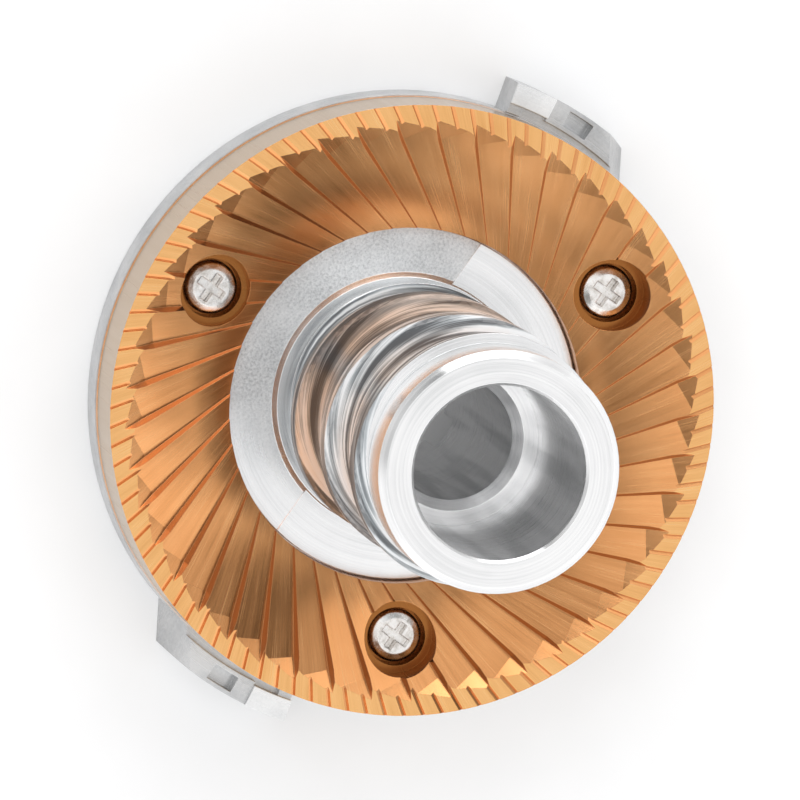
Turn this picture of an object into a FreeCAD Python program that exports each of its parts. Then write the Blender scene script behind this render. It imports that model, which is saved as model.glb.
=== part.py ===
import FreeCAD, Part
import math
import os
import Sketcher
from FreeCAD import Vector

# Rotating burr set of a flat-burr coffee grinder, lying on the back of its carrier.
# +Z is the shaft axis, from the carrier's back face at Z = 0 towards the tip of the feed auger.
# The sweeper lugs lie on the X axis and the cross slot in the back runs along Y.

doc = FreeCAD.newDocument("grinder_burr_set")

SIZES = [
    # cutting ring
    ("ring_diameter", 64.0),
    ("ring_bore", 37.4),
    ("ring_thickness", 7.5),
    ("ring_edge_chamfer", 0.4),
    ("cutting_band_start", 28.2),
    ("dish_depth", 2.9),
    ("large_tooth_count", 45),
    ("large_groove_offset", 11.3),
    ("large_groove_depth", 4.1),
    ("large_runout_start", 28.4),
    ("large_runout_depth", 1.08),
    ("large_groove_end", 30.5),
    ("large_groove_height", 1.6),
    ("large_steep_angle", 56.0),
    ("large_gentle_angle", 20.5),
    ("ring_turn", 3.7),
    ("fine_tooth_count", 99),
    ("fine_groove_offset", 11.3),
    ("fine_groove_depth", 0.17),
    ("fine_steep_angle", 62.0),
    ("fine_gentle_angle", 26.0),
    ("overcut", 1.0),
    # screws and their seats
    ("screw_circle", 48.6),
    ("screw_count", 3),
    ("screw_start_angle", -26.0),
    ("screw_head_diameter", 5.6),
    ("screw_head_height", 2.1),
    ("screw_crown_width", 0.9),
    ("screw_crown_drop", 0.7),
    ("screw_thread_diameter", 3.0),
    ("screw_point", 0.45),
    ("screw_clearance", 0.2),
    ("thread_clearance", 0.1),
    ("screw_length", 5.4),
    ("screw_web", 1.3),
    ("screw_ledge", 3.6),
    ("counterbore_outer", 7.7),
    ("counterbore_inner", 6.2),
    ("recess_span", 3.1),
    ("recess_width", 0.85),
    ("recess_depth", 1.2),
    # carrier disc and boss
    ("plate_thickness", 4.6),
    ("plate_overhang", 0.2),
    ("plate_chamfer", 0.5),
    ("boss_rise", 1.3),
    ("boss_clearance", 0.15),
    ("floor_step", 0.3),
    ("floor_step_offset", 3.0),
    # feed auger and collar
    ("auger_diameter", 26.6),
    ("auger_length", 40.4),
    ("auger_foot", 0.5),
    ("groove_depth", 1.5),
    ("groove_lead", 14.4),
    ("groove_land", 2.2),
    ("groove_start_drop", 8.0),
    ("collar_diameter", 24.6),
    ("collar_length", 5.4),
    ("collar_chamfer", 0.7),
    # shaft bore
    ("shaft_bore", 12.6),
    ("tip_bore", 17.6),
    ("tip_bore_depth", 21.0),
    ("bore_chamfer", 1.0),
    ("mouth_chamfer", 0.3),
    ("slot_width", 3.4),
    ("slot_depth", 4.5),
    ("slot_length", 22.0),
    # sweeper lugs
    ("lug_count", 2),
    ("lug_reach", 3.5),
    ("lug_gap", 0.9),
    ("lug_block_gap", 1.25),
    ("lug_block_angle", 8.45),
    ("lug_lead_angle", 15.8),
    ("lug_web_angle", 13.2),
    ("lug_tail_angle", -17.5),
    ("lug_toe_angle", -8.2),
    ("lug_toe_skew", 33.0),
    ("lug_toe_slope", 25.7),
    ("lug_block_rise", 1.3),
    ("lug_rib_rise", 0.8),
    ("lug_panel_depth", 1.6),
    ("lug_border", 0.45),
    ("lug_panel_start", 0.4),
    ("lug_panel_end", 5.3),
]

sheet = doc.addObject("Spreadsheet::Sheet", "Sizes")
for row, (alias, number) in enumerate(SIZES, start=1):
    sheet.set("A%d" % row, alias)
    sheet.set("B%d" % row, str(number))
    sheet.setAlias("B%d" % row, alias)
doc.recompute()
size = {alias: float(sheet.get(alias)) for alias, number in SIZES}

# Heights that several pieces share, as expressions on the sheet
SEAT = "Sizes.plate_thickness"
FLOOR = "(Sizes.plate_thickness + Sizes.boss_rise)"
AUGER_TOP = "(Sizes.plate_thickness + Sizes.boss_rise + Sizes.auger_length)"
TIP = "(Sizes.plate_thickness + Sizes.boss_rise + Sizes.auger_length + Sizes.collar_length)"


# Helpers for bodies, sketches and features

def origin_feature(body, role):
    for feature in body.Origin.OriginFeatures:
        if feature.Role == role:
            return feature


def new_body(label):
    body = doc.addObject("PartDesign::Body", label)
    body.Label = label
    return body


def new_sketch(body, name, plane, height=None):
    sketch = body.newObject("Sketcher::SketchObject", name)
    sketch.AttachmentSupport = (origin_feature(body, plane), "")
    sketch.MapMode = "FlatFace"
    if height is not None:
        sketch.setExpression("AttachmentOffset.Base.z", height)
    return sketch


def fix_point(sketch, geometry, end, across, up):
    # ties one end of a line or arc to two expressions; a zero lies on the sketch's own axis
    for kind, axis, value in (("DistanceX", -2, across), ("DistanceY", -1, up)):
        if value is None:
            continue
        if value == "0":
            sketch.addConstraint(Sketcher.Constraint("PointOnObject", geometry, end, axis))
            continue
        point = sketch.getPoint(geometry, end)
        start = point.x if kind == "DistanceX" else point.y
        number = sketch.addConstraint(Sketcher.Constraint(kind, -1, 1, geometry, end, start))
        sketch.setExpression("Constraints[%d]" % number, value)


def polygon(sketch, corners):
    # closed outline of straight lines through corners given as pairs of expressions
    count = len(corners)
    spots = [Vector(30 + 20 * math.cos(2 * math.pi * i / count), 20 * math.sin(2 * math.pi * i / count), 0)
             for i in range(count)]
    first = sketch.GeometryCount
    for i in range(count):
        sketch.addGeometry(Part.LineSegment(spots[i], spots[(i + 1) % count]), False)
    for i in range(count):
        sketch.addConstraint(Sketcher.Constraint("Coincident", first + i, 2, first + (i + 1) % count, 1))
    for i, (across, up) in enumerate(corners):
        fix_point(sketch, first + i, 1, across, up)


def circle(sketch, radius, across="0", up="0"):
    number = sketch.addGeometry(Part.Circle(Vector(0, 0, 0), Vector(0, 0, 1), 5), False)
    fix_point(sketch, number, 3, across, up)
    bound = sketch.addConstraint(Sketcher.Constraint("Radius", number, 5))
    sketch.setExpression("Constraints[%d]" % bound, radius)


def pad(body, name, sketch, length):
    feature = body.newObject("PartDesign::Pad", name)
    feature.Profile = sketch
    feature.setExpression("Length", length)
    return feature


def pocket(body, name, sketch, length, upwards=False):
    feature = body.newObject("PartDesign::Pocket", name)
    feature.Profile = sketch
    feature.setExpression("Length", length)
    feature.Reversed = upwards
    return feature


def turn(body, name, kind, sketch):
    # a full turn of a sketch on the XZ plane about the shaft axis
    feature = body.newObject("PartDesign::" + kind, name)
    feature.Profile = sketch
    feature.ReferenceAxis = (sketch, ["V_Axis"])
    feature.Angle = 360
    return feature


def repeat(body, name, features, count):
    pattern = body.newObject("PartDesign::PolarPattern", name)
    pattern.Originals = features
    pattern.Axis = (origin_feature(body, "Z_Axis"), [""])
    pattern.Angle = 360
    pattern.setExpression("Occurrences", count)
    body.Tip = pattern
    return pattern


def slanted_pocket(body, name, sketch, length, across, along, up):
    # a pocket along a slanted direction, whose three shares are expressions
    feature = pocket(body, name, sketch, length)
    feature.UseCustomVector = True
    feature.Direction = Vector(1, 1, 0)
    for axis, share in (("x", across), ("y", along), ("z", up)):
        feature.setExpression("Direction." + axis, share)
    return feature


def straight_teeth(body, prefix, count, offset, runs, height, steep, gentle):
    # one straight V groove beside the axis, steep on its leading side, repeated round the ring;
    # each run of its floor has a start along the groove, a height there, a length and a rise
    grooves = []
    for number, (start, bottom, length, rise) in enumerate(runs, start=1):
        sketch = new_sketch(body, "%s_groove_profile_%d" % (prefix, number), "XZ_Plane", "-" + start)
        polygon(sketch, [
            (offset, bottom),
            ("%s + %s / tan(%s * 1 deg)" % (offset, height, gentle), "%s + %s" % (bottom, height)),
            ("%s - %s / tan(%s * 1 deg)" % (offset, height, steep), "%s + %s" % (bottom, height)),
        ])
        grooves.append(slanted_pocket(body, "%s_groove_%d" % (prefix, number), sketch, length, "0", "1", rise))
    return repeat(body, prefix + "_teeth", grooves, count)


def screw_spot(angle):
    # where a screw's axis crosses a horizontal sketch
    return ("Sizes.screw_circle / 2 * cos(%s * 1 deg)" % angle, "Sizes.screw_circle / 2 * sin(%s * 1 deg)" % angle)


def sector(sketch, inner, outer, tail, lead, guess):
    # ring sector between two radii and two angles; guess holds the same four as plain numbers
    inner_guess, outer_guess, tail_guess, lead_guess = guess
    tail_angle, lead_angle = math.radians(tail_guess), math.radians(lead_guess)

    def point(radius, angle):
        return Vector(radius * math.cos(angle), radius * math.sin(angle), 0)

    for radius in (outer_guess, inner_guess):
        round_line = Part.Circle(Vector(0, 0, 0), Vector(0, 0, 1), radius)
        sketch.addGeometry(Part.ArcOfCircle(round_line, tail_angle, lead_angle), False)
    for angle in (tail_angle, lead_angle):
        sketch.addGeometry(Part.LineSegment(point(outer_guess, angle), point(inner_guess, angle)), False)
    for first, second in (((0, 1), (2, 1)), ((1, 1), (2, 2)), ((0, 2), (3, 1)), ((1, 2), (3, 2))):
        sketch.addConstraint(Sketcher.Constraint("Coincident", *first, *second))
    for arc, radius in ((0, outer), (1, inner)):
        sketch.addConstraint(Sketcher.Constraint("Coincident", arc, 3, -1, 1))
        fix_point(sketch, arc, 1, "%s * cos(%s * 1 deg)" % (radius, tail), "%s * sin(%s * 1 deg)" % (radius, tail))
        fix_point(sketch, arc, 2, None, "%s * sin(%s * 1 deg)" % (radius, lead))


# Flat cutting ring, dished towards its bore, with a band of large saw teeth and a band of fine ones.
# The floor of a large groove climbs from the bore, then climbs faster and runs out in a point.

ring = new_body("burr_ring")
ring.setExpression("Placement.Base.z", SEAT)
ring.setExpression("Placement.Rotation.Angle", "Sizes.ring_turn * 1 deg")

blank_profile = new_sketch(ring, "ring_blank_profile", "XZ_Plane")
polygon(blank_profile, [
    ("Sizes.ring_bore / 2", "0"),
    ("Sizes.ring_diameter / 2 - Sizes.ring_edge_chamfer", "0"),
    ("Sizes.ring_diameter / 2", "Sizes.ring_edge_chamfer"),
    ("Sizes.ring_diameter / 2", "Sizes.ring_thickness"),
    ("Sizes.cutting_band_start", "Sizes.ring_thickness"),
    ("Sizes.ring_bore / 2", "Sizes.ring_thickness - Sizes.dish_depth"),
])
turn(ring, "ring_blank", "Revolution", blank_profile)

GROOVE_SPOT = "sqrt((%s) ^ 2 - Sizes.large_groove_offset ^ 2)"
AT_BORE = GROOVE_SPOT % "Sizes.ring_bore / 2"
AT_RUNOUT = GROOVE_SPOT % "Sizes.large_runout_start"
AT_END = GROOVE_SPOT % "Sizes.large_groove_end"
CLIMB = "((Sizes.large_groove_depth - Sizes.large_runout_depth) / (%s - %s))" % (AT_RUNOUT, AT_BORE)
RUNOUT_CLIMB = "(Sizes.large_runout_depth / (%s - %s))" % (AT_END, AT_RUNOUT)
straight_teeth(
    ring, "large", "Sizes.large_tooth_count", "Sizes.large_groove_offset",
    [("0", "(Sizes.ring_thickness - Sizes.large_groove_depth - %s * %s)" % (CLIMB, AT_BORE), AT_RUNOUT, CLIMB),
     (AT_RUNOUT, "(Sizes.ring_thickness - Sizes.large_runout_depth)",
      "2 * (%s - %s)" % (AT_END, AT_RUNOUT), RUNOUT_CLIMB)],
    "Sizes.large_groove_height", "Sizes.large_steep_angle", "Sizes.large_gentle_angle")
straight_teeth(
    ring, "fine", "Sizes.fine_tooth_count", "Sizes.fine_groove_offset",
    [("0", "(Sizes.ring_thickness - Sizes.fine_groove_depth)", "Sizes.ring_diameter / 2 + Sizes.overcut", "0")],
    "(Sizes.fine_groove_depth + Sizes.overcut / 10)", "Sizes.fine_steep_angle", "Sizes.fine_gentle_angle")

ring_screw_spot = screw_spot("(Sizes.screw_start_angle - Sizes.ring_turn)")
counterbore_steps = []
for step, diameter, height in (
        ("outer_counterbore", "Sizes.counterbore_outer", "Sizes.screw_ledge"),
        ("inner_counterbore", "Sizes.counterbore_inner", "Sizes.screw_web"),
        ("screw_hole", "(Sizes.screw_thread_diameter + Sizes.screw_clearance)", "-Sizes.overcut")):
    sketch = new_sketch(ring, step + "_profile", "XY_Plane", height)
    circle(sketch, diameter + " / 2", *ring_screw_spot)
    counterbore_steps.append(pocket(ring, step, sketch, "Sizes.ring_thickness + 2 * Sizes.overcut", upwards=True))
repeat(ring, "screw_counterbores", counterbore_steps, "Sizes.screw_count")


# Carrier: disc, boss, feed auger with a helical groove, collar, stepped bore, cross slot and two sweeper lugs

carrier = new_body("carrier")

auger_outline = new_sketch(carrier, "auger_outline", "XY_Plane")
circle(auger_outline, "Sizes.auger_diameter / 2")
pad(carrier, "auger_blank", auger_outline, AUGER_TOP)

GROOVE_MIDDLE = "(%s - Sizes.groove_start_drop)" % FLOOR
GROOVE_HALF = "((Sizes.groove_lead - Sizes.groove_land) / 2)"
GROOVE_RADIUS = "((%s ^ 2 + Sizes.groove_depth ^ 2) / (2 * Sizes.groove_depth))" % GROOVE_HALF


def auger_groove_profile(sketch):
    # a shallow arc that opens outwards through the auger's side, closed by three straight lines
    edge = size["auger_diameter"] / 2
    half = (size["groove_lead"] - size["groove_land"]) / 2
    depth = size["groove_depth"]
    middle = size["plate_thickness"] + size["boss_rise"] - size["groove_start_drop"]
    radius = (half ** 2 + depth ** 2) / (2 * depth)
    spread = math.asin(half / radius)
    centre = Vector(edge - depth + radius, middle, 0)
    outside = edge + size["overcut"]
    round_line = Part.Circle(centre, Vector(0, 0, 1), radius)
    sketch.addGeometry(Part.ArcOfCircle(round_line, math.pi - spread, math.pi + spread), False)
    sketch.addGeometry(Part.LineSegment(Vector(edge, middle - half, 0), Vector(outside, middle - half, 0)), False)
    sketch.addGeometry(Part.LineSegment(Vector(outside, middle - half, 0), Vector(outside, middle + half, 0)), False)
    sketch.addGeometry(Part.LineSegment(Vector(outside, middle + half, 0), Vector(edge, middle + half, 0)), False)
    for first, second in (((0, 2), (1, 1)), ((1, 2), (2, 1)), ((2, 2), (3, 1)), ((3, 2), (0, 1))):
        sketch.addConstraint(Sketcher.Constraint("Coincident", *first, *second))
    fix_point(sketch, 0, 1, "Sizes.auger_diameter / 2", "%s + %s" % (GROOVE_MIDDLE, GROOVE_HALF))
    fix_point(sketch, 0, 2, "Sizes.auger_diameter / 2", "%s - %s" % (GROOVE_MIDDLE, GROOVE_HALF))
    fix_point(sketch, 1, 2, "Sizes.auger_diameter / 2 + Sizes.overcut", "%s - %s" % (GROOVE_MIDDLE, GROOVE_HALF))
    fix_point(sketch, 2, 2, "Sizes.auger_diameter / 2 + Sizes.overcut", "%s + %s" % (GROOVE_MIDDLE, GROOVE_HALF))
    bound = sketch.addConstraint(Sketcher.Constraint("Radius", 0, radius))
    sketch.setExpression("Constraints[%d]" % bound, GROOVE_RADIUS)


groove_profile = new_sketch(carrier, "auger_groove_profile", "XZ_Plane")
auger_groove_profile(groove_profile)
groove = carrier.newObject("PartDesign::SubtractiveHelix", "auger_groove")
groove.Profile = groove_profile
groove.ReferenceAxis = (groove_profile, ["V_Axis"])
groove.Mode = 0
groove.LeftHanded = True
groove.setExpression("Pitch", "Sizes.groove_lead")
groove.setExpression("Height", "Sizes.auger_length + Sizes.groove_start_drop + Sizes.groove_lead / 2")

# The lugs come before the disc, whose rim then fills what the slope of their toes cuts away inside it

RIM = "(Sizes.ring_diameter / 2 + Sizes.plate_overhang)"
LUG_OUTSIDE = "(Sizes.ring_diameter / 2 + Sizes.lug_reach)"
LUG_INSIDE = "(Sizes.ring_diameter / 2 + Sizes.lug_gap)"
LUG_ROOT = "(Sizes.auger_diameter / 2 - Sizes.overcut)"
BLOCK_INSIDE = "(Sizes.ring_diameter / 2 + Sizes.lug_block_gap)"
ring_radius = size["ring_diameter"] / 2
lug_root = size["auger_diameter"] / 2 - size["overcut"]
lug_inside = ring_radius + size["lug_gap"]
lug_outside = ring_radius + size["lug_reach"]
lug_parts = []
for name, inner, inner_guess, tail, lead, rise in (
        ("lug_foot", LUG_ROOT, lug_root, "lug_tail_angle", "lug_lead_angle", "0"),
        ("lug_rib", LUG_INSIDE, lug_inside, "lug_tail_angle", "lug_block_angle", "Sizes.lug_rib_rise"),
        ("lug_block", BLOCK_INSIDE, ring_radius + size["lug_block_gap"], "lug_block_angle", "lug_lead_angle",
         "Sizes.lug_block_rise"),
        ("lug_web", RIM, ring_radius + size["plate_overhang"], "lug_web_angle", "lug_lead_angle",
         "Sizes.lug_rib_rise")):
    sketch = new_sketch(carrier, name + "_outline", "XY_Plane")
    guess = (inner_guess, lug_outside, size[tail], size[lead])
    sector(sketch, inner, LUG_OUTSIDE, "Sizes." + tail, "Sizes." + lead, guess)
    lug_parts.append(pad(carrier, name, sketch, "%s + %s" % (SEAT, rise)))

panel_outline = new_sketch(carrier, "lug_panel_outline", "XY_Plane",
                           "%s + Sizes.lug_rib_rise - Sizes.lug_panel_depth" % SEAT)
panel_guess = (lug_inside + size["lug_border"], lug_outside - size["lug_border"],
               size["lug_panel_start"], size["lug_panel_end"])
sector(panel_outline, "(%s + Sizes.lug_border)" % LUG_INSIDE, "(%s - Sizes.lug_border)" % LUG_OUTSIDE,
       "Sizes.lug_panel_start", "Sizes.lug_panel_end", panel_guess)
lug_parts.append(pocket(carrier, "lug_panel", panel_outline, "Sizes.lug_panel_depth + Sizes.overcut", upwards=True))

# the trailing end leans back and runs askew, up from a toe on the lug's outer corner
TOE_START = "(Sizes.ring_diameter / 4)"
TOE_LINE = "(%s * sin(%s) - (%s * cos(%s) - %s) * tan(%s))" % (
    LUG_OUTSIDE, "Sizes.lug_toe_angle * 1 deg", LUG_OUTSIDE, "Sizes.lug_toe_angle * 1 deg", TOE_START,
    "Sizes.lug_toe_skew * 1 deg")
TOE_LEAN = "(tan(Sizes.lug_toe_slope * 1 deg) / cos(Sizes.lug_toe_skew * 1 deg))"
TOE_TOP = "(Sizes.plate_thickness + Sizes.lug_rib_rise + Sizes.overcut)"
toe_profile = new_sketch(carrier, "lug_toe_profile", "YZ_Plane", TOE_START)
polygon(toe_profile, [
    ("%s - Sizes.overcut * %s" % (TOE_LINE, TOE_LEAN), "-Sizes.overcut"),
    ("%s + %s * %s" % (TOE_LINE, TOE_TOP, TOE_LEAN), TOE_TOP),
    ("%s - %s" % (TOE_LINE, TOE_START), TOE_TOP),
    ("%s - %s" % (TOE_LINE, TOE_START), "-Sizes.overcut"),
])
lug_parts.append(slanted_pocket(carrier, "lug_toe", toe_profile, "Sizes.ring_diameter / 2", "1",
                                "tan(Sizes.lug_toe_skew * 1 deg)", "0"))
repeat(carrier, "sweeper_lugs", lug_parts, "Sizes.lug_count")

disc_profile = new_sketch(carrier, "disc_profile", "XZ_Plane")
BOSS = "(Sizes.ring_bore / 2 - Sizes.boss_clearance)"
polygon(disc_profile, [
    ("0", "0"),
    (RIM + " - Sizes.plate_chamfer", "0"),
    (RIM, "Sizes.plate_chamfer"),
    (RIM, SEAT),
    (BOSS, SEAT),
    (BOSS, FLOOR),
    ("Sizes.auger_diameter / 2 + Sizes.auger_foot", FLOOR),
    ("Sizes.auger_diameter / 2", FLOOR + " + Sizes.auger_foot"),
    ("0", FLOOR + " + Sizes.auger_foot"),
])
turn(carrier, "disc", "Revolution", disc_profile)

# over half of the boss's floor stands a little higher, up to a straight edge beside the auger
step_outline = new_sketch(carrier, "floor_step_outline", "XY_Plane", SEAT)
boss_radius = size["ring_bore"] / 2 - size["boss_clearance"]
step_angle = math.asin(size["floor_step_offset"] / boss_radius)
boss_round = Part.Circle(Vector(0, 0, 0), Vector(0, 0, 1), boss_radius)
step_outline.addGeometry(Part.ArcOfCircle(boss_round, math.pi - step_angle, 2 * math.pi + step_angle), False)
step_outline.addGeometry(Part.LineSegment(
    Vector(boss_radius * math.cos(step_angle), size["floor_step_offset"], 0),
    Vector(-boss_radius * math.cos(step_angle), size["floor_step_offset"], 0)), False)
step_outline.addConstraint(Sketcher.Constraint("Coincident", 0, 2, 1, 1))
step_outline.addConstraint(Sketcher.Constraint("Coincident", 1, 2, 0, 1))
step_outline.addConstraint(Sketcher.Constraint("Coincident", 0, 3, -1, 1))
fix_point(step_outline, 0, 1, None, "Sizes.floor_step_offset")
fix_point(step_outline, 0, 2, None, "Sizes.floor_step_offset")
step_radius = step_outline.addConstraint(Sketcher.Constraint("Radius", 0, boss_radius))
step_outline.setExpression("Constraints[%d]" % step_radius, BOSS)
pad(carrier, "floor_step", step_outline, "Sizes.boss_rise + Sizes.floor_step")

collar_profile = new_sketch(carrier, "collar_profile", "XZ_Plane")
polygon(collar_profile, [
    ("0", AUGER_TOP),
    ("Sizes.collar_diameter / 2", AUGER_TOP),
    ("Sizes.collar_diameter / 2", TIP + " - Sizes.collar_chamfer"),
    ("Sizes.collar_diameter / 2 - Sizes.collar_chamfer", TIP),
    ("0", TIP),
])
turn(carrier, "collar", "Revolution", collar_profile)

BORE_STEP = "(%s - Sizes.tip_bore_depth)" % TIP
bore_profile = new_sketch(carrier, "bore_profile", "XZ_Plane")
polygon(bore_profile, [
    ("0", "-Sizes.overcut"),
    ("Sizes.shaft_bore / 2", "-Sizes.overcut"),
    ("Sizes.shaft_bore / 2", BORE_STEP + " - Sizes.bore_chamfer"),
    ("Sizes.shaft_bore / 2 + Sizes.bore_chamfer", BORE_STEP),
    ("Sizes.tip_bore / 2", BORE_STEP),
    ("Sizes.tip_bore / 2", TIP + " - Sizes.mouth_chamfer"),
    ("Sizes.tip_bore / 2 + Sizes.mouth_chamfer + Sizes.overcut", TIP + " + Sizes.overcut"),
    ("0", TIP + " + Sizes.overcut"),
])
turn(carrier, "stepped_bore", "Groove", bore_profile)

slot_outline = new_sketch(carrier, "slot_outline", "XY_Plane", "-Sizes.overcut")
polygon(slot_outline, [
    ("Sizes.slot_width / 2", "Sizes.slot_length / 2"),
    ("-Sizes.slot_width / 2", "Sizes.slot_length / 2"),
    ("-Sizes.slot_width / 2", "-Sizes.slot_length / 2"),
    ("Sizes.slot_width / 2", "-Sizes.slot_length / 2"),
])
pocket(carrier, "cross_slot", slot_outline, "Sizes.slot_depth + Sizes.overcut", upwards=True)

thread_outline = new_sketch(carrier, "thread_outline", "XY_Plane", "-Sizes.overcut")
circle(thread_outline, "(Sizes.screw_thread_diameter + Sizes.thread_clearance) / 2",
       *screw_spot("Sizes.screw_start_angle"))
thread = pocket(carrier, "threaded_hole", thread_outline, "Sizes.plate_thickness + 2 * Sizes.overcut", upwards=True)
repeat(carrier, "threaded_holes", [thread], "Sizes.screw_count")


# Pan-head screws with a cross recess, one in each counterbore of the ring

def burr_screw(number):
    screw = new_body("burr_screw_%d" % number)
    angle = "(Sizes.screw_start_angle + %d * 360 / Sizes.screw_count)" % (number - 1)
    across, along = screw_spot(angle)
    screw.setExpression("Placement.Base.x", across)
    screw.setExpression("Placement.Base.y", along)
    screw.setExpression("Placement.Base.z", "%s + Sizes.screw_web" % SEAT)
    profile = new_sketch(screw, "screw_%d_profile" % number, "XZ_Plane")
    polygon(profile, [
        ("0", "-Sizes.screw_length"),
        ("Sizes.screw_thread_diameter / 2 - Sizes.screw_point", "-Sizes.screw_length"),
        ("Sizes.screw_thread_diameter / 2", "-Sizes.screw_length + Sizes.screw_point"),
        ("Sizes.screw_thread_diameter / 2", "0"),
        ("Sizes.screw_head_diameter / 2", "0"),
        ("Sizes.screw_head_diameter / 2", "Sizes.screw_head_height - Sizes.screw_crown_drop"),
        ("Sizes.screw_head_diameter / 2 - Sizes.screw_crown_width / 3",
         "Sizes.screw_head_height - Sizes.screw_crown_drop / 3"),
        ("Sizes.screw_head_diameter / 2 - Sizes.screw_crown_width", "Sizes.screw_head_height"),
        ("0", "Sizes.screw_head_height"),
    ])
    turn(screw, "screw_%d_blank" % number, "Revolution", profile)
    recess = new_sketch(screw, "screw_%d_recess_outline" % number, "XY_Plane",
                        "Sizes.screw_head_height - Sizes.recess_depth")
    arm, half = "Sizes.recess_span / 2", "Sizes.recess_width / 2"
    polygon(recess, [
        (arm, "-" + half), (arm, half), (half, half), (half, arm), ("-" + half, arm), ("-" + half, half),
        ("-" + arm, half), ("-" + arm, "-" + half), ("-" + half, "-" + half), ("-" + half, "-" + arm),
        (half, "-" + arm), (half, "-" + half),
    ])
    pocket(screw, "screw_%d_recess" % number, recess, "Sizes.recess_depth + Sizes.overcut", upwards=True)
    return screw


screws = [burr_screw(number) for number in range(1, int(size["screw_count"]) + 1)]


# Check every object, then write each sub-part under its own name

doc.recompute()
failed = [item.Name for item in doc.Objects if "Invalid" in item.State or "Error" in item.State]
if failed:
    raise SystemExit("failed objects: " + ", ".join(failed))

sub_parts = [ring, carrier] + screws
for body in sub_parts:
    if body.Shape.isNull() or not body.Shape.isValid() or len(body.Shape.Solids) != 1:
        raise SystemExit(body.Label + " is not one valid solid")

os.makedirs("parts", exist_ok=True)
for body in sub_parts:
    body.Shape.exportStep("parts/%s.step" % body.Label)
    print(body.Label, round(body.Shape.Volume), "mm3,", len(body.Shape.Faces), "faces")
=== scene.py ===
import bpy
import math
from mathutils import Matrix, Vector

# Rotating burr set of a coffee grinder, lying on the back of its carrier on a pale floor.
# The shaft axis is +Z. Object data is in metres; sizes on the part are named here in millimetres.

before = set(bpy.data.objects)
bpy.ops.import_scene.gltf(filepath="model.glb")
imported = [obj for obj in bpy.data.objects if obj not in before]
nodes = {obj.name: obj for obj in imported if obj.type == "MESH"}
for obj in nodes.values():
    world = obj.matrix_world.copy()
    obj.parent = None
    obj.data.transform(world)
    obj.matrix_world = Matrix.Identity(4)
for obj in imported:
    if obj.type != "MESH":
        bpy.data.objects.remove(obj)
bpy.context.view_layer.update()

scene = bpy.context.scene
scene.view_settings.view_transform = "Standard"


# Sizes of the solids that the materials go by, in millimetres

MM = 0.001
RING_RADIUS = 32.0
RING_BORE_RADIUS = 18.7
GROOVE_OFFSET = 11.3
CUTTING_BAND_START = 28.2
BOSS_FLOOR = 5.9
BOSS_STEP = 0.3
LUG_BLOCK_HEIGHT = 5.9
AUGER_RADIUS = 13.3
BORE_MOUTH_RADIUS = 9.1
COLLAR_START = 46.3


# Camera at the photograph's viewing angle and distance, looking down on the teeth

CAMERA_SPOT = Vector((-0.74, 253.3, 929.9)) * MM
CAMERA_TARGET = Vector((0.16, 1.98, 12.1)) * MM
CAMERA_UP = Vector((0.81438, 0.55993, -0.15252))
CAMERA_LENS = 414.0
CAMERA_SENSOR = 36.0
CAMERA_CLIP_START = 0.01

camera_data = bpy.data.cameras.new("camera")
camera_data.lens = CAMERA_LENS
camera_data.sensor_width = CAMERA_SENSOR
camera_data.clip_start = CAMERA_CLIP_START
camera = bpy.data.objects.new("camera", camera_data)
backward = (CAMERA_SPOT - CAMERA_TARGET).normalized()
rightward = CAMERA_UP.cross(backward).normalized()
upward = backward.cross(rightward)
camera_turn = Matrix((rightward, upward, backward)).transposed().to_4x4()
camera.matrix_world = Matrix.Translation(CAMERA_SPOT) @ camera_turn
scene.collection.objects.link(camera)
scene.camera = camera


# Node helpers

# The Mix node has sockets for every kind of data; these are the numbers of its colour ones
MIX_FIRST_COLOR = 6
MIX_SECOND_COLOR = 7
MIX_COLOR_RESULT = 2

# Most of what a noise node gives lies between these two values
NOISE_LOW = 0.3
NOISE_HIGH = 0.7


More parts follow.
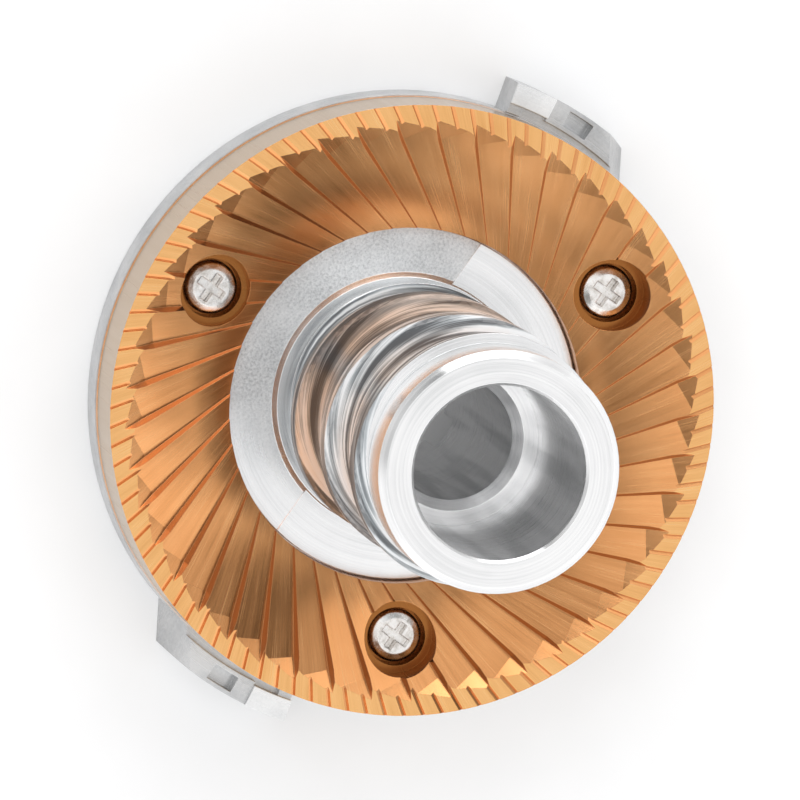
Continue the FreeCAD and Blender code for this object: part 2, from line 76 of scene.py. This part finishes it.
class Nodes:
    # builds the node tree of a material or a world; a value may be a number or another node's output
    def __init__(self, owner):
        owner.use_nodes = True
        self.tree = owner.node_tree
        self.tree.nodes.clear()

    def add(self, kind, inputs=None, **settings):
        node = self.tree.nodes.new(kind)
        for name, value in settings.items():
            setattr(node, name, value)
        for name, value in (inputs or {}).items():
            self.put(node.inputs[name], value)
        return node

    def put(self, socket, value):
        if isinstance(value, bpy.types.NodeSocket):
            self.tree.links.new(value, socket)
        else:
            socket.default_value = value

    def math(self, operation, first, second=0.0, third=0.0, clamp=False):
        node = self.add("ShaderNodeMath", operation=operation, use_clamp=clamp)
        for number, value in enumerate((first, second, third)):
            self.put(node.inputs[number], value)
        return node.outputs[0]

    def split(self, vector):
        return self.add("ShaderNodeSeparateXYZ", {0: vector}).outputs

    def combine(self, x, y, z):
        return self.add("ShaderNodeCombineXYZ", {"X": x, "Y": y, "Z": z}).outputs[0]

    def noise(self, vector, scale=1.0, detail=3.0, roughness=0.55):
        return self.add("ShaderNodeTexNoise", {
            "Vector": vector, "Scale": scale, "Detail": detail, "Roughness": roughness}).outputs["Fac"]

    def ramp(self, value, stops):
        node = self.add("ShaderNodeValToRGB", {"Fac": value})
        elements = node.color_ramp.elements
        while len(elements) < len(stops):
            elements.new(0.5)
        for element, (place, color) in zip(elements, stops):
            element.position = place
            element.color = (*color, 1.0)
        return node.outputs["Color"]

    def span(self, value, low, high, start=0.0, end=1.0, curve="LINEAR"):
        return self.add("ShaderNodeMapRange", {
            "Value": value, "From Min": low, "From Max": high, "To Min": start, "To Max": end},
            interpolation_type=curve).outputs[0]

    def vary(self, noise, start, end):
        return self.span(noise, NOISE_LOW, NOISE_HIGH, start, end)

    def above(self, value, limit, fade):
        # 0 up to the limit, rising to 1 over the fade
        return self.span(value, limit, limit + fade)

    def below(self, value, limit, fade):
        # 1 up to the limit, falling to 0 over the fade
        return self.span(value, limit + fade, limit)

    def every(self, first, *others):
        # a mask that is 1 where all of these are
        for other in others:
            first = self.math("MULTIPLY", first, other)
        return first

    def mix(self, factor, first, second):
        node = self.add("ShaderNodeMix", {"Factor": factor}, data_type="RGBA")
        for number, value in ((MIX_FIRST_COLOR, first), (MIX_SECOND_COLOR, second)):
            is_plain = not isinstance(value, bpy.types.NodeSocket)
            self.put(node.inputs[number], (*value, 1.0) if is_plain else value)
        return node.outputs[MIX_COLOR_RESULT]

    def blend(self, shares):
        # noises added up by weights that make 1, so the sum stays near 0.5 as each noise does
        total = 0.0
        for value, weight in shares:
            total = self.math("MULTIPLY_ADD", value, weight, total)
        return total

    def rounded(self, radius, samples):
        return self.add("ShaderNodeBevel", {"Radius": radius}, samples=samples).outputs[0]

    def bump(self, height, strength, distance, normal):
        return self.add("ShaderNodeBump", {
            "Height": height, "Strength": strength, "Distance": distance, "Normal": normal}).outputs[0]

    def metal(self, color, roughness, normal, more=None):
        # a Principled shader straight into the material's output
        shader = self.add("ShaderNodeBsdfPrincipled", {
            "Base Color": color, "Metallic": 1.0, "Roughness": roughness, "Normal": normal,
            **(more or {})})
        self.finish(shader.outputs[0])

    def finish(self, shader):
        self.add("ShaderNodeOutputMaterial", {"Surface": shader})


def place_on_part(net):
    # the surface point in millimetres from the shaft axis and the floor
    place = net.add("ShaderNodeTexCoord").outputs["Object"]
    return net.add("ShaderNodeVectorMath", {0: place, "Scale": 1.0 / MM}, operation="SCALE").outputs[0]


def polar(net, x, y):
    # distance from the shaft axis, and angle round it
    squares = net.math("ADD", net.math("MULTIPLY", x, x), net.math("MULTIPLY", y, y))
    return net.math("SQRT", squares), net.math("ARCTAN2", y, x)


def around(net, angle, along, round_scale, along_scale):
    # seamless coordinates: one scale for changes round the axis, one along a second measure
    return net.combine(
        net.math("MULTIPLY", net.math("COSINE", angle), round_scale),
        net.math("MULTIPLY", net.math("SINE", angle), round_scale),
        net.math("MULTIPLY", along, along_scale))


def upward_level(net):
    # 1 on faces that look straight up, 0 on upright ones
    return net.split(net.add("ShaderNodeNewGeometry").outputs["True Normal"])[2]


# Coated cutting steel: warm copper, ground along the slanted grooves. The grooves are a little
# redder than the lands. Painted shade makes the steep sides of the grooves and the screw seats
# darker, and makes the ring's upright rim greyer and darker.
# A surface is told by its radius and by its level: 1 where it faces up, 0 where it is upright.

LAND_TONES = [(0.34, (0.76, 0.39, 0.14)), (0.50, (0.84, 0.46, 0.18)), (0.66, (0.90, 0.52, 0.22))]
GROOVE_TONES = [(0.34, (0.68, 0.30, 0.11)), (0.50, (0.78, 0.36, 0.14)), (0.66, (0.86, 0.43, 0.18))]
STEEP_SIDE_PAINTED_SHADE_COLOR = (0.34, 0.18, 0.09)
SEAT_PAINTED_SHADE_COLOR = (0.34, 0.13, 0.035)
RIM_PAINTED_SHADE_COLOR = (0.52, 0.38, 0.25)
STEEP_SIDE_END = 29.4
SEAT_LEVEL = 0.985
GROOVE_LEVEL = 0.965
STEEP_SIDE_HIGHEST = 0.70
STEEP_SIDE_LOWEST = 0.10
UPRIGHT = 0.05
TOOTH_EDGE = 0.06 * MM
TOOTH_EDGE_SAMPLES = 6


def burr_material():
    material = bpy.data.materials.new("coated_burr_steel")
    net = Nodes(material)
    place = place_on_part(net)
    x, y, _ = net.split(place)
    radius, angle = polar(net, x, y)
    # the grooves pass the axis at an offset, so the streaks lean by the same angle as they do
    distance = net.math("MAXIMUM", radius, RING_BORE_RADIUS)
    lean = net.math("ARCSINE", net.math("DIVIDE", GROOVE_OFFSET, distance))
    across = net.math("ADD", angle, lean)
    streaks = net.noise(
        around(net, across, radius, round_scale=260.0, along_scale=0.16), roughness=0.6)
    broad = net.noise(
        around(net, across, radius, round_scale=34.0, along_scale=0.12), detail=2.0, roughness=0.5)
    cloud = net.noise(place, scale=0.16, detail=2.0, roughness=0.5)
    grain = net.noise(place, scale=7.0, detail=2.0, roughness=0.6)
    tone = net.blend([(streaks, 0.30), (broad, 0.40), (cloud, 0.30)])

    level = upward_level(net)
    groove = net.below(level, GROOVE_LEVEL, fade=0.03)
    upright = net.below(net.math("ABSOLUTE", level), UPRIGHT, fade=0.05)
    # painted shade: the steep sides of the large grooves get a darker colour
    steep_side_painted_shade = net.every(
        net.below(level, STEEP_SIDE_HIGHEST, fade=0.08),
        net.above(level, STEEP_SIDE_LOWEST, fade=0.10),
        net.below(radius, STEEP_SIDE_END, fade=1.2))
    # painted shade: the walls and floors of the screw seats get a darker colour
    seat_wall = net.every(upright, net.above(radius, RING_BORE_RADIUS + 0.5, fade=0.4))
    seat_floor = net.above(level, SEAT_LEVEL, fade=0.01)
    seat_painted_shade = net.every(
        net.math("ADD", seat_wall, seat_floor, clamp=True),
        net.below(radius, CUTTING_BAND_START - 0.05, fade=0.1))
    # painted shade: the ring's upright rim gets a greyer, darker colour
    rim_painted_shade = net.every(upright, net.above(radius, RING_RADIUS - 0.5, fade=0.1))

    color = net.mix(groove, net.ramp(tone, LAND_TONES), net.ramp(tone, GROOVE_TONES))
    # painted shade on the steep sides, the screw seats and the upright rim
    color = net.mix(steep_side_painted_shade, color, STEEP_SIDE_PAINTED_SHADE_COLOR)
    color = net.mix(seat_painted_shade, color, SEAT_PAINTED_SHADE_COLOR)
    color = net.mix(rim_painted_shade, color, RIM_PAINTED_SHADE_COLOR)
    ground = net.bump(streaks, strength=0.12, distance=0.012 * MM,
                      normal=net.rounded(TOOTH_EDGE, TOOTH_EDGE_SAMPLES))
    normal = net.bump(grain, strength=0.05, distance=0.008 * MM, normal=ground)
    roughness = net.math("ADD", net.vary(streaks, 0.20, 0.27), net.vary(broad, -0.02, 0.03))
    net.metal(color, roughness, normal)
    return material


# Pale aluminium: turned in rings on the round faces; painted dark and light reflection bands on
# the auger; fine streaks inside the bores, whose pale tones are painted light; a speckled cast skin
# on the low part of the boss's floor, whose grey is partly painted shade; and grey lugs, painted
# paler on top as painted light and darker below as painted shade

TURNED_TONES = [(0.36, (0.76, 0.765, 0.77)), (0.50, (0.88, 0.88, 0.885)), (0.62, (0.95, 0.95, 0.95))]
AUGER_PAINTED_REFLECTION_TONES = [(0.42, (0.12, 0.13, 0.14)), (0.50, (0.42, 0.455, 0.475)), (0.56, (0.86, 0.885, 0.90))]
BORE_STREAK_AND_LIGHT_TONES = [(0.38, (0.66, 0.665, 0.67)), (0.50, (0.92, 0.92, 0.925)), (0.60, (0.98, 0.98, 0.98))]
CAST_SKIN_AND_SHADE_TONES = [(0.36, (0.56, 0.565, 0.57)), (0.50, (0.79, 0.795, 0.80)), (0.64, (0.95, 0.95, 0.95))]
LUG_SHADED_SIDE_TONES = [(0.36, (0.46, 0.465, 0.47)), (0.50, (0.56, 0.565, 0.57)), (0.64, (0.66, 0.66, 0.66))]
LUG_LIT_TOP_TONES = [(0.36, (0.74, 0.745, 0.75)), (0.50, (0.82, 0.825, 0.83)), (0.64, (0.90, 0.90, 0.90))]
FLOOR_LEVEL = 0.90
WALL_LEVEL = 0.4
CAST_FADE_START = -15.0
CAST_FADE = 8.0
CAST_BUMP = 0.5
TURNING_SLOPE = 0.65
TURNING_ANISOTROPY = 0.7
QUARTER_TURN = 0.25
CAST_EXTRA_ROUGHNESS = 0.22
AUGER_EXTRA_ROUGHNESS = 0.16
BORE_AND_LUG_EXTRA_ROUGHNESS = 0.08
CARRIER_EDGE = 0.12 * MM
CARRIER_EDGE_SAMPLES = 6


def aluminium_material():
    material = bpy.data.materials.new("turned_aluminium")
    net = Nodes(material)
    place = place_on_part(net)
    x, y, height = net.split(place)
    radius, angle = polar(net, x, y)
    # a measure that grows over flat and over upright faces alike, so that both get rings
    travel = net.math("MULTIPLY_ADD", radius, TURNING_SLOPE, height)
    rings = net.noise(
        around(net, angle, travel, round_scale=0.5, along_scale=8.5), roughness=0.6)
    bands = net.noise(
        around(net, angle, travel, round_scale=0.7, along_scale=0.9), detail=2.0, roughness=0.5)
    streaks = net.noise(
        around(net, angle, height, round_scale=3.4, along_scale=0.035), detail=2.0, roughness=0.5)
    speckle = net.noise(place, scale=3.4, roughness=0.75)
    cloud = net.noise(place, scale=0.22, roughness=0.5)

    level = upward_level(net)
    wall = net.below(level, WALL_LEVEL, fade=0.2)
    # cast skin: its speckle and roughness are real, and its grey colour, fading out along x, is
    # painted shade
    cast_skin_and_shade = net.every(
        net.above(level, FLOOR_LEVEL, fade=0.08),
        net.below(radius, RING_BORE_RADIUS, fade=0.3),
        net.above(height, BOSS_FLOOR - 0.85, fade=0.4),
        net.below(height, BOSS_FLOOR + BOSS_STEP / 3, fade=0.05),
        net.above(x, CAST_FADE_START, CAST_FADE))
    bore = net.every(wall, net.below(radius, BORE_MOUTH_RADIUS - 0.1, fade=0.3))
    auger = net.every(
        wall,
        net.above(radius, BORE_MOUTH_RADIUS + 0.2, fade=0.3),
        net.below(radius, AUGER_RADIUS + 0.5, fade=0.2),
        net.below(height, COLLAR_START - 0.1, fade=0.7))
    lug = net.above(radius, RING_RADIUS, fade=0.1)
    # painted light and shade: the lug block tops are painted paler, and the rest of the lugs darker
    lit_lug_top = net.above(height, LUG_BLOCK_HEIGHT - 0.4, fade=0.1)

    turned_color = net.ramp(net.blend([(rings, 0.45), (bands, 0.40), (cloud, 0.15)]), TURNED_TONES)
    # painted reflection: dark and light bands on the auger stand in for what it reflects
    auger_color = net.ramp(net.blend([(rings, 0.25), (bands, 0.65), (cloud, 0.10)]), AUGER_PAINTED_REFLECTION_TONES)
    # fine streaks in the bores, with pale tones that are painted light inside them
    bore_color = net.ramp(net.blend([(streaks, 0.75), (rings, 0.25)]), BORE_STREAK_AND_LIGHT_TONES)
    cast_skin_and_shade_color = net.ramp(net.blend([(speckle, 0.70), (cloud, 0.30)]), CAST_SKIN_AND_SHADE_TONES)
    lug_skin = net.blend([(speckle, 0.35), (cloud, 0.65)])
    lug_color = net.mix(lit_lug_top, net.ramp(lug_skin, LUG_SHADED_SIDE_TONES), net.ramp(lug_skin, LUG_LIT_TOP_TONES))
    color = net.mix(cast_skin_and_shade, turned_color, cast_skin_and_shade_color)
    color = net.mix(auger, color, auger_color)
    color = net.mix(bore, color, bore_color)
    color = net.mix(lug, color, lug_color)

    lathe = net.bump(rings, strength=0.16, distance=0.02 * MM,
                     normal=net.rounded(CARRIER_EDGE, CARRIER_EDGE_SAMPLES))
    normal = net.bump(
        speckle, strength=net.math("MULTIPLY", cast_skin_and_shade, CAST_BUMP), distance=0.06 * MM, normal=lathe)
    roughness = net.vary(rings, 0.17, 0.25)
    for mask, extra in (
            (cast_skin_and_shade, CAST_EXTRA_ROUGHNESS),
            (auger, AUGER_EXTRA_ROUGHNESS),
            (net.math("ADD", bore, lug), BORE_AND_LUG_EXTRA_ROUGHNESS)):
        roughness = net.math("MULTIPLY_ADD", mask, extra, roughness)
    tangent = net.add("ShaderNodeTangent", direction_type="RADIAL", axis="Z").outputs[0]
    net.metal(color, roughness, normal, {
        "Anisotropic": TURNING_ANISOTROPY, "Anisotropic Rotation": QUARTER_TURN, "Tangent": tangent})
    return material


# Bright zinc on the screws, slightly blotched, with soft edges at the cross recess

ZINC_TONES = [(0.34, (0.60, 0.56, 0.52)), (0.52, (0.82, 0.79, 0.76)), (0.66, (0.92, 0.90, 0.88))]
SCREW_EDGE = 0.22 * MM
SCREW_EDGE_SAMPLES = 8


def screw_material():
    material = bpy.data.materials.new("bright_screw_steel")
    net = Nodes(material)
    place = place_on_part(net)
    blotch = net.noise(place, scale=1.1, roughness=0.6)
    grain = net.noise(place, scale=9.0, detail=2.0, roughness=0.6)
    uneven = net.bump(blotch, strength=0.25, distance=0.12 * MM,
                      normal=net.rounded(SCREW_EDGE, SCREW_EDGE_SAMPLES))
    normal = net.bump(grain, strength=0.12, distance=0.02 * MM, normal=uneven)
    net.metal(net.ramp(blotch, ZINC_TONES), net.vary(blotch, 0.20, 0.32), normal)
    return material


def dress(node, material):
    node.data.materials.clear()
    node.data.materials.append(material)


dress(nodes["burr_ring"], burr_material())
dress(nodes["carrier"], aluminium_material())
screw_steel = screw_material()
for name, node in nodes.items():
    if name.startswith("burr_screw"):
        dress(node, screw_steel)


# Floor: a wide pale disc that looks near white to the camera and in the metal's reflections, and
# keeps the part's own shadow. Its radius is in metres.

FLOOR_TONES = [(0.3, (0.78, 0.78, 0.785)), (0.7, (0.82, 0.82, 0.825))]
FLOOR_PAPER_SCALE = 40.0
FLOOR_GLOW = 0.13
FLOOR_RADIUS = 3.0
FLOOR_SIDES = 64
WHITE = (1.0, 1.0, 1.0, 1.0)


def floor_material():
    material = bpy.data.materials.new("pale_floor")
    net = Nodes(material)
    paper = net.noise(net.add("ShaderNodeTexCoord").outputs["Object"], scale=FLOOR_PAPER_SCALE)
    matt = net.add("ShaderNodeBsdfDiffuse", {"Color": net.ramp(paper, FLOOR_TONES)}).outputs[0]
    path = net.add("ShaderNodeLightPath").outputs
    mirrored = net.math("MAXIMUM", path["Is Glossy Ray"], path["Is Transmission Ray"])
    seen = net.math("MAXIMUM", path["Is Camera Ray"], mirrored)
    strength = net.math("MULTIPLY", seen, FLOOR_GLOW)
    glow = net.add("ShaderNodeEmission", {"Color": WHITE, "Strength": strength}).outputs[0]
    net.finish(net.add("ShaderNodeAddShader", {0: matt, 1: glow}).outputs[0])
    return material


floor_mesh = bpy.data.meshes.new("floor")
floor_turns = [math.tau * side / FLOOR_SIDES for side in range(FLOOR_SIDES)]
floor_mesh.from_pydata(
    [(FLOOR_RADIUS * math.cos(turn), FLOOR_RADIUS * math.sin(turn), 0.0) for turn in floor_turns],
    [], [list(range(FLOOR_SIDES))])
floor_mesh.materials.append(floor_material())
floor = bpy.data.objects.new("floor", floor_mesh)
scene.collection.objects.link(floor)


# Soft studio light. Directions are given as the camera sees them: right, up and towards the viewer.
# Distances and sizes are in metres, and power in watts.

def seen_from_camera(right, up, back):
    return (rightward * right + upward * up + backward * back).normalized()


def softbox(name, direction, distance, width, height, power):
    away = seen_from_camera(*direction)
    data = bpy.data.lights.new(name, "AREA")
    data.shape = "RECTANGLE"
    data.size = width
    data.size_y = height
    data.energy = power
    lamp = bpy.data.objects.new(name, data)
    lamp.location = CAMERA_TARGET + away * distance
    lamp.rotation_euler = away.to_track_quat("Z", "Y").to_euler()
    scene.collection.objects.link(lamp)


softbox("key_softbox", direction=(0.2, 1.0, 0.7), distance=0.9, width=0.8, height=0.45, power=2.8)


# The studio around the part: a grey room with soft bright and dark panels. Each has a direction, the
# angle in degrees up to which it is whole, the angle at which it has faded out, and a brightness.
# A later panel lies over the earlier ones.

ROOM_BRIGHTNESS = 0.68
PANELS = [
    ("lower_window", (-0.12, -0.87, 0.47), 24.0, 60.0, 1.38),
    ("lower_left_window", (-0.82, -0.51, 0.26), 10.0, 32.0, 1.10),
    ("dark_backdrop", (-0.57, 0.82, 0.04), 14.0, 42.0, 0.05),
    ("upper_right_window", (0.41, 0.78, 0.47), 8.0, 30.0, 1.10),
    ("right_wall", (0.97, 0.26, 0.04), 10.0, 32.0, 1.05),
    ("lower_right_wall", (0.89, -0.42, 0.17), 20.0, 44.0, 1.32),
    ("overhead_screen", (0.44, -0.15, 0.89), 10.0, 28.0, 1.00),
    ("side_flag", (0.91, 0.06, 0.42), 6.0, 18.0, 0.10),
    ("edge_light", (0.78, 0.41, 0.47), 4.0, 13.0, 1.80),
    ("upper_flag", (0.18, 0.43, 0.88), 4.0, 15.0, 0.42),
    ("upper_left_screen", (-0.35, 0.39, 0.85), 14.0, 34.0, 1.25),
    ("centre_screen", (-0.03, -0.03, 1.0), 6.0, 20.0, 1.10),
]


def studio_world():
    world = bpy.data.worlds.new("studio")
    room = Nodes(world)
    outward = room.add("ShaderNodeTexCoord").outputs["Generated"]
    level = ROOM_BRIGHTNESS
    for name, direction, whole, faded, brightness in PANELS:
        closeness = room.add("ShaderNodeVectorMath", {0: outward, 1: seen_from_camera(*direction)},
                             operation="DOT_PRODUCT").outputs["Value"]
        share = room.span(closeness, math.cos(math.radians(faded)), math.cos(math.radians(whole)),
                          curve="SMOOTHSTEP")
        level = room.add("ShaderNodeMix", {"Factor": share, "A": level, "B": brightness},
                         data_type="FLOAT", label=name).outputs[0]
    light = room.add("ShaderNodeBackground", {"Color": WHITE, "Strength": level}).outputs[0]
    room.add("ShaderNodeOutputWorld", {"Surface": light})
    return world


scene.world = studio_world()
